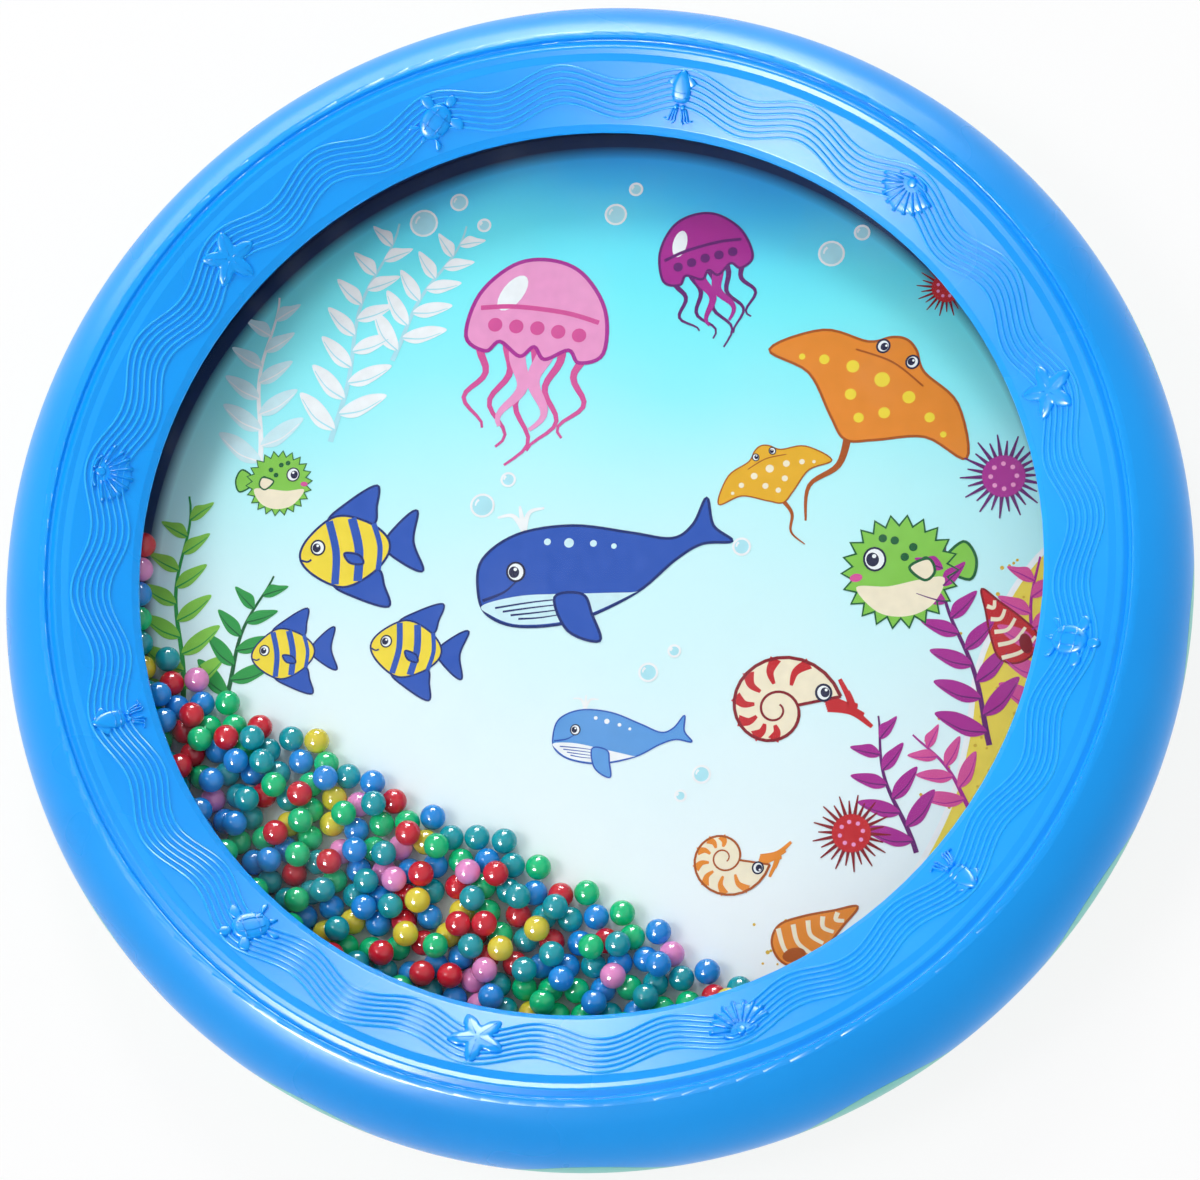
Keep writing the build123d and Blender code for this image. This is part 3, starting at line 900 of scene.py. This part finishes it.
def turtleRelief():
    figure = [puff(oval(0, 0, 3.9, 3.0, steps=20), 0.75), puff(oval(5.1, 0, 1.4, 1.1, steps=12), 0.6)]
    figure.append(puff([(-3.6, 0.5), (-5.4, 0), (-3.6, -0.5)], 0.45))
    for side in (-1, 1):
        front = [(2.4, 1.8), (3.6, 3.8), (2.2, 5.2), (1.2, 4.0), (1.2, 2.2)]
        rear = [(-2.4, 1.6), (-3.2, 2.2), (-4.6, 3.6), (-3.2, 3.7)]
        for flipper in (front, rear):
            figure.append(puff(curve([(u, side * v) for u, v in flipper], steps=3), 0.5))
        figure.append(rib([(-2.6, side * 1.0), (0, side * 1.25), (2.6, side * 1.0)], 0.35, 0.35, 0.95))
    figure += [rib([(x, -2.4), (x * 1.1, 0), (x, 2.4)], 0.35, 0.35, 0.95) for x in (-1.4, 1.4)]
    return figure


# figure, turn in degrees, more turn on each next round of the four, scale
reliefRound = [
    (starfishRelief(), 20, 25, 1.0),
    (scallopRelief(), 0, 0, 0.86),
    (squidRelief(), 0, 0, 0.88),
    (turtleRelief(), 35, 25, 0.98),
]
reliefPlaces = {"count": 12, "first": 18, "high": 1.25}  # first in degrees


def buildReliefs(places):
    for k in range(places["count"]):
        figure, turn, more, grow = reliefRound[k % len(reliefRound)]
        bearing = places["first"] + 360 / places["count"] * k
        emboss(figure, bearing, turn + more * (k // len(reliefRound)), grow, places["high"])
    newPiece("band_reliefs", reliefVerts, reliefFaces, plastics["rimBlue"])


buildWaveLines(waveLines)
buildReliefs(reliefPlaces)
print("wave lines and reliefs moulded")

# studio: white ground and backdrop, soft lamps from behind and from the left, and lamps that add sheen alone

studio = {
    "floorSize": 6000,  # mm
    "floorTone": (0.9, 0.9, 0.9, 1.0),
    "glow": 0.85,       # share of plain white in the floor as the camera sees it
    "ambient": 0.63,
    "lamps": {          # mm and watts
        "topLamp": {"at": (-140, 800, 780), "size": (260, 260), "power": 3.2, "sheenOnly": False},
        "fillLamp": {"at": (-620, -60, 1000), "size": (400, 400), "power": 3.8, "sheenOnly": False},
        "windowLamp": {"at": (50, 1180, 470), "size": (660, 440), "power": 46.0, "sheenOnly": True},
        "edgeLamp": {"at": (-180, 760, 65), "size": (1300, 110), "power": 5.0, "sheenOnly": True},
        "lowLamp": {"at": (-500, -540, 690), "size": (330, 330), "power": 52.0, "sheenOnly": True},
    },
}


def backgroundRays(tree):
    rays = addNode(tree, "ShaderNodeLightPath")
    both = addNode(tree, "ShaderNodeMath", operation="MAXIMUM")
    every = addNode(tree, "ShaderNodeMath", operation="MAXIMUM")
    tree.links.new(rays.outputs["Is Camera Ray"], both.inputs[0])
    tree.links.new(rays.outputs["Is Glossy Ray"], both.inputs[1])
    tree.links.new(both.outputs["Value"], every.inputs[0])
    tree.links.new(rays.outputs["Is Transmission Ray"], every.inputs[1])
    return every.outputs["Value"]


def buildFloor():
    half = studio["floorSize"] / 2 * mm
    mesh = bpy.data.meshes.new("floor")
    corners = [(-half, -half, 0), (half, -half, 0), (half, half, 0), (-half, half, 0)]
    mesh.from_pydata(corners, [], [(0, 1, 2, 3)])
    floor = bpy.data.objects.new("floor", mesh)
    scene.collection.objects.link(floor)
    material, tree = newMaterial("paleFloor")
    matte = addNode(tree, "ShaderNodeBsdfDiffuse", Color=studio["floorTone"])
    glow = addNode(tree, "ShaderNodeEmission", Strength=1.0)
    seen = addNode(tree, "ShaderNodeMath", operation="MULTIPLY")
    tree.links.new(backgroundRays(tree), seen.inputs[0])
    seen.inputs[1].default_value = studio["glow"]
    mix = addNode(tree, "ShaderNodeMixShader")
    tree.links.new(seen.outputs["Value"], mix.inputs["Fac"])
    tree.links.new(matte.outputs["BSDF"], mix.inputs[1])
    tree.links.new(glow.outputs["Emission"], mix.inputs[2])
    finishMaterial(tree, mix.outputs["Shader"])
    mesh.materials.append(material)


def lightStudio():
    world = bpy.data.worlds.new("studioWorld")
    scene.world = world
    world.use_nodes = True
    tree = world.node_tree
    tree.nodes.clear()
    seen = backgroundRays(tree)
    ambient = addNode(tree, "ShaderNodeBackground", Strength=studio["ambient"])
    backdrop = addNode(tree, "ShaderNodeBackground", Strength=1.0)
    for sky in (ambient, backdrop):
        sky.inputs["Color"].default_value = (1, 1, 1, 1)
    mix = addNode(tree, "ShaderNodeMixShader")
    tree.links.new(seen, mix.inputs["Fac"])
    tree.links.new(ambient.outputs["Background"], mix.inputs[1])
    tree.links.new(backdrop.outputs["Background"], mix.inputs[2])
    output = addNode(tree, "ShaderNodeOutputWorld")
    tree.links.new(mix.outputs["Shader"], output.inputs["Surface"])
    for name, lamp in studio["lamps"].items():
        light = bpy.data.lights.new(name, "AREA")
        light.shape = "RECTANGLE"
        light.size, light.size_y = (side * mm for side in lamp["size"])
        light.energy = lamp["power"]
        holder = bpy.data.objects.new(name, light)
        place = Vector(lamp["at"]) * mm
        holder.location = place
        holder.rotation_euler = (Vector((0, 0, windowLevel * mm)) - place).to_track_quat("-Z", "Y").to_euler()
        holder.visible_diffuse = not lamp["sheenOnly"]
        scene.collection.objects.link(holder)


buildFloor()
lightStudio()
print("studio lit")
